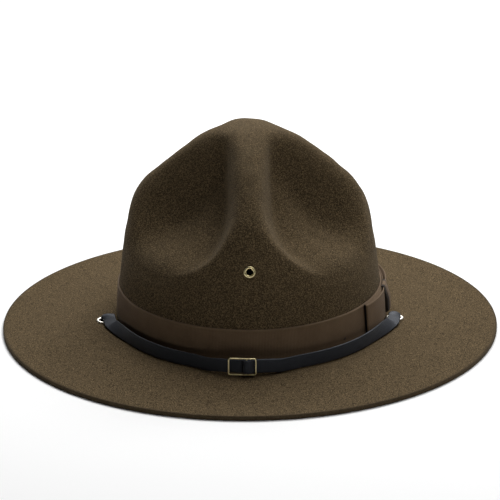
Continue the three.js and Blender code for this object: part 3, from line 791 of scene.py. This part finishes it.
def build_band():
    """The closed band with its ribs, following the crown's wall."""
    section = ribbon_section(BAND_LAP)
    circumference = 2 * math.pi * math.sqrt((CROWN_X**2 + CROWN_Y**2) / 2)
    ribs = int(round(circumference / RIB_PITCH))
    columns = ribs * 4
    a = np.arange(columns) * 2 * math.pi / columns
    wave = 0.5 + 0.5 * np.cos(2 * math.pi * np.arange(columns) / 4)
    rings, ribs_at, heights, edges = [], [], [], []
    sag = 0.12 * wander(np.stack([np.cos(a) * 95, np.sin(a) * 95, 0 * a], -1), 60, 12)
    for share, out, cord in section:
        z = RIBBON_FOOT + share * RIBBON_HEIGHT + sag * share
        ripple = 0.10 * (wave - 1) * (1 if out > 0.3 and not cord else 0.35 if out > 0.3 else 0)
        rings.append(off_wall(a, z, RIBBON_CLEARANCE + out * RIBBON_THICKNESS + ripple))
        ribs_at.append(wave)
        heights.append(z)
        edges.append(np.full(columns, cord))
    rings = np.array(rings)
    faces = grid_faces(len(section), columns, True, True)
    piece = mesh_object("grosgrain_band", rings.reshape(-1, 3), faces)
    attribute(piece, "rib", np.array(ribs_at))
    attribute(piece, "height_mm", np.array(heights))
    attribute(piece, "selvage", np.array(edges))
    face_outward(piece)
    return piece


dress(build_band(), ["ribbon_band"], ribbon)


# Bow

LOOP_THICKNESS = 0.62
LOOP_BEND = 0.85
LOOP_PUFF = 0.75
LOOP_TUCK = 3.0
KNOT_TAPER = 0.5
BOW_RADIUS = CROWN_Y + RIBBON_FACE
BOW_FLOOR = RIBBON_FACE + GAP / 2
BOW_ANGLE = -BOW_FORWARD / BOW_RADIUS
TACK_X = 63.1
TACK_Y = -80.3
TACK_ANGLE = math.atan2(TACK_Y / CROWN_Y, TACK_X / CROWN_X)
TACK_HEIGHT = 14.0


def weave_attributes(piece, ribs_at, heights, edges):
    """Stores what the ribbon material reads, for the points of a tube and its two end centres."""
    for key, values in (("rib", ribs_at), ("height_mm", heights), ("selvage", edges)):
        flat = np.array(values).T.ravel()
        attribute(piece, key, np.append(flat, [flat[0], flat[-1]]))


def ribbon_strip(name, arc, offset, normal_arc, normal_offset):
    """A strip of the bow's ribbon along stations, each an arc length from the bow's middle
    and an offset from the wall, with the direction across the strip."""
    thickness = LOOP_THICKNESS
    section = ribbon_section(BOW_LAP)
    length = np.concatenate([[0], np.cumsum(np.hypot(np.diff(arc), np.diff(offset)))])
    wave = rib_wave(length)
    rings, ribs_at, heights, edges = [], [], [], []
    for share, out, cord in section:
        side = (out - 0.5) * thickness
        ripple = 0.07 * (wave - 1) * (1 if not cord else 0.3) * (1 if out > 0.3 else -1)
        reach = side + ripple
        z = RIBBON_TOP - BOW_HEIGHT + share * BOW_HEIGHT
        a = BOW_ANGLE + (arc + normal_arc * reach) / BOW_RADIUS
        rings.append(off_wall(a, np.broadcast_to(z, arc.shape), offset + normal_offset * reach))
        ribs_at.append(wave)
        heights.append(np.broadcast_to(z, arc.shape))
        edges.append(np.full(len(arc), cord))
    rings = np.transpose(np.array(rings), (1, 0, 2))
    piece = tube_mesh(name, rings)
    weave_attributes(piece, ribs_at, heights, edges)
    return piece


def bow_loop_path(direction):
    """Inner layer out to the bend at the loop's end, round it, and the outer layer back to the knot."""
    bend = LOOP_BEND
    start = KNOT_WIDTH / 2 - LOOP_TUCK
    inner = BOW_FLOOR + LOOP_THICKNESS / 2
    reach = BOW_LENGTH / 2 - bend - LOOP_THICKNESS / 2
    out = np.linspace(start, reach, 170)
    lift_in = np.full(out.shape, inner)
    turn = np.linspace(-math.pi / 2, math.pi / 2, 15)[1:-1]
    back_out = out[::-1]
    puff = LOOP_PUFF * np.sin(math.pi * np.clip((back_out - start) / (reach - start), 0, 1)) ** 0.8
    lift_out = inner + 2 * bend + puff - 0.35 * smoothstep((start + 9 - back_out) / 9)
    arc = np.concatenate([out, reach + bend * np.cos(turn), back_out])
    offset = np.concatenate([lift_in, inner + bend + bend * np.sin(turn), lift_out])
    tangent_arc, tangent_offset = np.gradient(arc), np.gradient(offset)
    size = np.hypot(tangent_arc, tangent_offset)
    normal_arc, normal_offset = tangent_offset / size, -tangent_arc / size
    # Painted shade: a mask over the inner half of the folded end's round turn, darkening the shaded gap
    # between the loop's end and the band
    painted_fold_shade = smoothstep((arc - reach + 0.4) / 0.3) * (1 - smoothstep((offset - inner - 1.0) / 0.4))
    return direction * arc, offset, direction * normal_arc, normal_offset, painted_fold_shade


for loop_name, loop_node, direction in (
    ("bow_loop_front", "bow_front_loop", -1),
    ("bow_loop_rear", "bow_rear_loop", 1),
):
    *stations, painted_fold_shade = bow_loop_path(direction)
    loop = ribbon_strip(loop_name, *stations)
    attribute(loop, "painted_fold_shade", np.append(np.repeat(painted_fold_shade, len(ribbon_section(BOW_LAP))), [0, 0]))
    dress(loop, [loop_node], ribbon)


def build_knot():
    """The knot: a ribbon wrapped over the loops, its ends tucked behind them."""
    half = KNOT_WIDTH / 2
    low = BOW_FLOOR + 0.2
    z_half = KNOT_HEIGHT / 2
    z_middle = RIBBON_TOP + KNOT_OVERHANG - z_half
    steps = 72
    power = 0.28
    around = np.linspace(0, 2 * math.pi, 96, endpoint=False)
    rings, edges, ribs_at, heights = [], [], [], []
    across = np.linspace(-half, half, steps)
    wave = rib_wave(across)
    for turn in around:
        c, s = math.cos(turn), math.sin(turn)
        z = z_middle + z_half * np.sign(c) * abs(c) ** power
        rise = KNOT_RISE / 2 * (1 + np.sign(s) * abs(s) ** power)
        crown = 1 - 0.22 * np.abs(across / half) ** 3
        taper = 1 - KNOT_TAPER * min(max((z - z_middle) / z_half, 0), 1)
        lift = rise * crown * taper + low + 0.07 * (wave - 1) * (1 if s > 0 else 0)
        pinch = 1 - 0.06 * max(c, 0) ** 4 - 0.06 * max(-c, 0) ** 4
        rings.append(off_wall(BOW_ANGLE + across * pinch / BOW_RADIUS, np.full(steps, z), lift))
        edges.append(np.where(np.abs(across) > half - 0.8, 1.0, 0.0))
        ribs_at.append(wave)
        heights.append(np.full(steps, z))
    rings = np.transpose(np.array(rings), (1, 0, 2))
    piece = tube_mesh("bow_knot_wrap", rings)
    weave_attributes(piece, ribs_at, heights, edges)
    # Painted shade: the knot is near black within 2 mm of each end, fading out by 4.5 mm in, standing in
    # for the shade on its sides
    painted_shade = 0.9 * (1 - smoothstep((half - np.abs(across) - 2.0) / 2.5))
    attribute(piece, "painted_fold_shade", np.append(np.repeat(painted_shade, len(around)), [0.9, 0.9]))
    return piece


dress(build_knot(), ["bow_knot"], ribbon)


def build_tack():
    """A short stitch that holds the ribbon's seam, just above the strap."""
    share = np.linspace(-1, 1, 13)
    radius = 0.34 * np.sqrt(np.clip(1.02 - share**2, 0.02, 1))
    a = TACK_ANGLE + 1.1 * share / CROWN_Y
    centre = off_wall(a, TACK_HEIGHT + 0.5 * share, 1.42 + 0.3 * (1 - share**2))
    along = unit(np.gradient(centre, axis=0))
    side = unit(np.cross(along, UP))
    upward = np.cross(side, along)
    turn = np.arange(10) * 2 * math.pi / 10
    cos, sin = np.cos(turn)[None, :, None], np.sin(turn)[None, :, None]
    size = radius[:, None, None]
    rings = centre[:, None, :] + size * (side[:, None, :] * cos + upward[:, None, :] * sin)
    return tube_mesh("ribbon_tack", rings)


dress(build_tack(), [], thread)


# Chin strap

STRAP_HALF = STRAP_WIDTH / 2
LAYER = STRAP_THICKNESS + GAP
FULL_TILT = math.radians(80)
END_TILT = math.radians(20)
SIDE_CLEARANCE = 3.2
FRONT_CLEARANCE = 7.1
FRONT_END = 3.9  # where the passages meet the front and the hidden stretch, in hole radii
BACK_END = 3.3
BUCKLE_RAISE = BUCKLE_MARGIN + BUCKLE_WIRE
FRAME_Y = STRAP_HALF + BUCKLE_RAISE
WRAP = BUCKLE_WIRE / 2 + GAP + STRAP_THICKNESS / 2
STRAP_X = CROWN_X + RIBBON_FACE + STRAP_THICKNESS / 2 + SIDE_CLEARANCE
STRAP_Y = CROWN_Y + RIBBON_FACE + STRAP_THICKNESS / 2 + FRONT_CLEARANCE
STRAP_SHIFT = 1.0
STRAP_BACK_Y = 111.0
STRAP_BACK_X = EYELET_X / math.sqrt(1 - (EYELET_Y / STRAP_BACK_Y) ** 2)
STRAP_BULGE = 6.0
STRAP_INSET = {1: -0.4, -1: 2.2}
EYELET_SINE = -EYELET_Y / STRAP_Y
BUCKLE_ANGLE = -math.pi / 2 + BUCKLE_OFFSET / STRAP_X
BUCKLE_HALF = BUCKLE_LENGTH / 2 - BUCKLE_WIRE / 2


def strap_swing(side):
    """How far the strap moves out at an eyelet, from its front curve to the hole."""
    return EYELET_X - STRAP_INSET[side] - side * STRAP_SHIFT - STRAP_X * math.sqrt(1 - EYELET_SINE**2)


def strap_bulge(along):
    """Share of the bulge away from the crown near the buckle."""
    return 1 - smoothstep((np.abs(along) / BUCKLE_LENGTH - 0.3) / 1.7)


def strap_raise(along):
    """Share of the rise that keeps the buckle's frame off the brim."""
    return 1 - smoothstep((np.abs(along) / BUCKLE_LENGTH - 0.55) / 0.75)


def layer_lift(along):
    """Share of one layer that the upper strap rises over the free end."""
    ahead = 1 - smoothstep((along - FREE_END - GAP) / BUCKLE_LENGTH)
    behind = 1 - smoothstep((-along - BUCKLE_LENGTH / 2) / BUCKLE_LENGTH)
    return np.where(along > 0, ahead, behind)


def strap_front(a):
    """Centre, across and face directions of the strap where it stands around the front."""
    a = np.asarray(a, float)
    cos, sin = np.cos(a), np.sin(a)
    outward = unit(np.stack([cos / STRAP_X, sin / STRAP_Y, 0 * a], -1))
    share = smoothstep((np.abs(sin) - EYELET_SINE) / (0.6 - EYELET_SINE))
    tilt = END_TILT + (FULL_TILT - END_TILT) * share
    along = (a - BUCKLE_ANGLE) * STRAP_X
    bulge = strap_bulge(along)
    z = FOOT_Z + GAP + STRAP_THICKNESS / 2 * np.cos(tilt) + STRAP_HALF * np.sin(tilt)
    z = z + BUCKLE_RAISE * strap_raise(along)
    centre = np.stack([STRAP_SHIFT + STRAP_X * cos, STRAP_Y * sin, z], -1)
    tilt = tilt[..., None]
    across = -outward * np.cos(tilt) + UP * np.sin(tilt)
    face = outward * np.sin(tilt) + UP * np.cos(tilt)
    swing = np.where(cos > 0, strap_swing(1), strap_swing(-1)) * (1 - share)
    centre = centre + outward * (STRAP_BULGE * bulge + swing)[..., None]
    centre = centre + face * (LAYER * layer_lift(along))[..., None]
    return centre, across, face


def strap_at(along, off):
    """The strap at a length from the buckle's middle, moved off its front by off."""
    along, off = np.broadcast_arrays(np.asarray(along, float), np.asarray(off, float))
    centre, across, face = strap_front(BUCKLE_ANGLE + along / STRAP_X)
    return centre + face * off[..., None], across, np.full(along.shape, STRAP_HALF)


# Passage through a brim eyelet: along in hole radii, height in mm over the brim's foot face,
# half width in mm, and how much of the lean and of the move off the hole's centre is left
PASSAGE = np.array([
    # along height half lean
    [3.40, 2.45, 4.15, 1.00],
    [2.60, 2.95, 4.15, 1.00],
    [1.90, 3.55, 4.15, 1.00],
    [1.35, 4.05, 4.12, 1.00],
    [0.90, 4.25, 4.02, 0.92],
    [0.50, 4.00, 3.80, 0.75],
    [0.22, 3.20, 3.50, 0.50],
    [0.06, 2.00, 3.15, 0.28],
    [0.00, 0.60, 2.90, 0.10],
    [0.00, -1.20, 2.80, 0.0],
    [-0.06, -2.90, 2.80, 0.0],
    [-0.28, -3.90, 2.85, 0.0],
    [-0.60, -4.35, 3.00, 0.0],
    [-1.00, -4.55, 3.35, 0.0],
    [-1.50, -4.50, 3.85, 0.0],
    [-2.10, -4.15, 4.10, 0.0],
    [-2.80, -3.80, 4.15, 0.0],
])


def catmull(table, steps):
    """Catmull-Rom curve through a table's rows, in equal parameter steps."""
    padded = np.vstack([2 * table[0] - table[1], table, 2 * table[-1] - table[-2]])
    t = np.linspace(0, len(table) - 1, steps)
    i = np.clip(np.floor(t).astype(int), 0, len(table) - 2)
    f = (t - i)[:, None]
    p0, p1, p2, p3 = (padded[i + k] for k in range(4))
    curve = (p2 - p0) * f + (2 * p0 - 5 * p1 + 4 * p2 - p3) * f**2 + (3 * p1 - p0 - 3 * p2 + p3) * f**3
    return p1 + 0.5 * curve


def passage(side):
    """The strap's way down through one brim eyelet."""
    along, height, half, lean = catmull(PASSAGE, 97).T
    y = EYELET_Y - along * BRIM_HOLE
    front_x = STRAP_X * np.sqrt(1 - (y / STRAP_Y) ** 2) + strap_swing(side) + side * STRAP_SHIFT
    back_x = STRAP_BACK_X * np.sqrt(1 - (y / STRAP_BACK_Y) ** 2)
    x = back_x + (front_x - back_x) * lean
    points = np.stack([side * x, y, FOOT_Z + height], -1)
    tilt = END_TILT * lean
    across = np.stack([-side * np.cos(tilt), 0 * tilt, np.sin(tilt)], -1)
    return points, across, half


def strap_line():
    """Centre, across direction and half width along the whole strap, from its tail to its free tip."""
    parts = []
    parts.append(strap_at(BAR_OFFSET + np.linspace(WRAP * 0.7, WRAP * 0.2, 4), 0))
    turn = -math.pi / 2 - np.linspace(0, math.pi, 13)
    parts.append(strap_at(BAR_OFFSET + WRAP * np.cos(turn), WRAP + WRAP * np.sin(turn)))
    share = np.linspace(0, 1, 11)[1:]
    run = BUCKLE_HALF - BUCKLE_WIRE - BAR_OFFSET
    parts.append(strap_at(BAR_OFFSET + run * share, WRAP + WRAP * np.cos(share * math.pi)))
    clear_front = math.asin((FRONT_END * BRIM_HOLE - EYELET_Y) / STRAP_Y)
    clear_back = math.asin((BACK_END * BRIM_HOLE + EYELET_Y) / STRAP_BACK_Y)
    a = np.linspace(BUCKLE_ANGLE + BUCKLE_HALF * 1.5 / STRAP_X, -clear_front, 110)[:-1]
    centre, across, _ = strap_front(a)
    parts.append((centre, across, np.full(len(a), STRAP_HALF)))
    parts.append(passage(1))
    a = np.linspace(clear_back, math.pi - clear_back, 150)[1:-1]
    outward = unit(np.stack([np.cos(a) / STRAP_BACK_X, np.sin(a) / STRAP_BACK_Y, 0 * a], -1))
    rest_low = BRIM_LIFT - GAP - STRAP_THICKNESS / 2
    centre = np.stack([STRAP_BACK_X * np.cos(a), STRAP_BACK_Y * np.sin(a), rest_low + 0 * a], -1)
    parts.append((centre, -outward, np.full(len(a), STRAP_HALF)))
    parts.append(tuple(x[::-1] for x in passage(-1)))
    a = np.linspace(-math.pi + clear_front, BUCKLE_ANGLE - BUCKLE_HALF * 1.5 / STRAP_X, 110)[1:]
    centre, across, _ = strap_front(a)
    parts.append((centre, across, np.full(len(a), STRAP_HALF)))
    parts.append(strap_at(np.array([-BUCKLE_HALF, BAR_OFFSET - WRAP * 2.6]), 0))
    turn = np.linspace(0.81, 0, 7) * math.pi / 2
    reach = WRAP + LAYER
    parts.append(strap_at(BAR_OFFSET - reach * np.sin(turn), WRAP - reach * np.cos(turn)))
    parts.append(strap_at(FREE_END * np.linspace(0.1, 0.9, 9), -LAYER))
    tip_along = FREE_END * np.array([0.93, 0.955, 0.975, 0.99, 1.0])
    point, across, half = strap_at(tip_along, -LAYER)
    parts.append((point, across, half * np.array([0.98, 0.93, 0.85, 0.72, 0.55])))
    return tuple(np.concatenate([p[k] for p in parts]) for k in range(3))


def curl_angle(ratio):
    """Half angle whose sine over itself is ratio."""
    low, high = np.full(ratio.shape, 1e-4), np.full(ratio.shape, 3.0)
    for _ in range(50):
        middle = (low + high) / 2
        wide = np.sin(middle) / middle > ratio
        low, high = np.where(wide, middle, low), np.where(wide, high, middle)
    return (low + high) / 2


def strip_section():
    """Leather section as (share of half width, share of half thickness, edge), around."""
    side = 1 - 0.45 / STRAP_HALF
    rows = [(-side, 1.0, 0.6)]
    rows += [(x, 1.0 + 0.10 * (1 - (x / side) ** 2), 0.0) for x in np.linspace(-0.86, 0.86, 9)]
    rows += [(side, 1.0, 0.6)]
    corner = [(0.38, 0.92), (0.71, 0.70), (0.92, 0.38), (1.0, 0.0)]
    rows += [(side + (1 - side) * c, s * 0.95, 1.0) for c, s in corner]
    rows += [(side + (1 - side) * c, -s * 0.95, 1.0) for c, s in corner[-2::-1]]
    rows += [(side, -1.0, 0.5), (0.5, -1.0, 0.0), (0.0, -1.0, 0.0), (-0.5, -1.0, 0.0), (-side, -1.0, 0.5)]
    rows += [(-side - (1 - side) * c, -s * 0.95, 1.0) for c, s in corner]
    rows += [(-side - (1 - side) * c, s * 0.95, 1.0) for c, s in corner[-2::-1]]
    return rows


def build_strap():
    """The strap's skin along its line, curled lengthwise where it is gathered."""
    centre, across, half = strap_line()
    step = np.linalg.norm(np.diff(centre, axis=0), axis=1)
    keep = np.concatenate([[True], step > 0.05])
    centre, across, half = centre[keep], across[keep], half[keep]
    for _ in range(3):
        centre[1:-1] = 0.25 * centre[:-2] + 0.5 * centre[1:-1] + 0.25 * centre[2:]
        half[1:-1] = 0.25 * half[:-2] + 0.5 * half[1:-1] + 0.25 * half[2:]
    along = unit(np.gradient(centre, axis=0))
    across = unit(across - along * np.sum(across * along, -1, keepdims=True))
    face = np.cross(along, across)
    count = len(centre)
    ending = np.arange(count) > count - 12
    ratio = np.where(ending, 1.0, np.clip(half / STRAP_HALF, 0.05, 0.9999))
    angle = curl_angle(ratio)
    radius = STRAP_HALF / angle
    gather = smoothstep((1 - ratio) / 0.5)
    wide = np.where(ending, half, STRAP_HALF)
    rings, edges = [], []
    for x, y, edge in strip_section():
        phi = x * angle
        out = y * STRAP_THICKNESS / 2
        flat = angle < 0.03
        sideways = np.where(flat, x * wide, (radius + out) * np.sin(phi))
        sag = radius * (1 - gather) * np.sin(angle) / angle
        arch = np.where(flat, out, (radius + out) * np.cos(phi) - sag)
        rings.append(centre + across * sideways[:, None] + face * arch[:, None])
        edges.append(np.full(count, edge))
    rings = np.transpose(np.array(rings), (1, 0, 2))
    piece = tube_mesh("chin_strap_leather", rings)
    flat = np.array(edges).T.ravel()
    attribute(piece, "edge", np.append(flat, [1, 1]))
    return piece


dress(build_strap(), ["chin_strap"], leather)


# Buckle

def wire_tube(path, closed, radius, sides=14):
    """Round wire along a path in the buckle's own plane, with x along the strap and y across it."""
    path = np.asarray(path, float)
    ahead = np.roll(path, -1, 0) - np.roll(path, 1, 0) if closed else np.gradient(path, axis=0)
    tangent = unit(ahead)
    normal = np.stack([tangent[:, 1], -tangent[:, 0], 0 * tangent[:, 0]], -1)
    angles = np.arange(sides) * 2 * math.pi / sides
    cos, sin = np.cos(angles)[None, :, None], np.sin(angles)[None, :, None]
    return path[:, None, :] + radius * (normal[:, None, :] * cos + UP * sin)


def build_buckle():
    """The wire frame with rounded corners and the middle bar that the strap wraps."""
    half_x = BUCKLE_LENGTH / 2 - BUCKLE_WIRE + WIRE_RADIUS
    half_y = FRAME_Y - BUCKLE_WIRE + WIRE_RADIUS
    corner = BUCKLE_CORNER
    path = []
    for cx, cy, start in (
        (half_x - corner, -half_y + corner, -90),
        (half_x - corner, half_y - corner, 0),
        (-half_x + corner, half_y - corner, 90),
        (-half_x + corner, -half_y + corner, 180),
    ):
        for d in np.linspace(start, start + 90, 9):
            turn = math.radians(d)
            path.append((cx + corner * math.cos(turn), cy + corner * math.sin(turn), 0))
    path = np.array(path)
    dense = []
    for k in range(len(path)):
        a, b = path[k], path[(k + 1) % len(path)]
        steps = max(1, int(np.linalg.norm(b - a) / 0.8))
        dense += [a + (b - a) * i / steps for i in range(steps)]
    frame_rings = wire_tube(dense, True, WIRE_RADIUS)
    bar = [(BAR_OFFSET, y, 0) for y in np.linspace(-half_y + 0.2, half_y - 0.2, 20)]
    bar_rings = wire_tube(bar, False, WIRE_RADIUS)
    frame_piece = tube_mesh("buckle_wire", frame_rings, close_along=True)
    bar_piece = tube_mesh("buckle_bar", bar_rings)
    centre, across, face = strap_front(np.array(BUCKLE_ANGLE))
    tangent = np.cross(across, face)
    origin = centre + face * WRAP
    matrix = Matrix([
        [tangent[0], across[0], face[0], origin[0] * MM],
        [tangent[1], across[1], face[1], origin[1] * MM],
        [tangent[2], across[2], face[2], origin[2] * MM],
        [0, 0, 0, 1],
    ])
    for piece in (frame_piece, bar_piece):
        piece.data.transform(matrix)
        face_outward(piece)
    return frame_piece, bar_piece


buckle_frame, buckle_bar = build_buckle()
dress(buckle_frame, ["buckle"], brass)
dress(buckle_bar, [], brass)
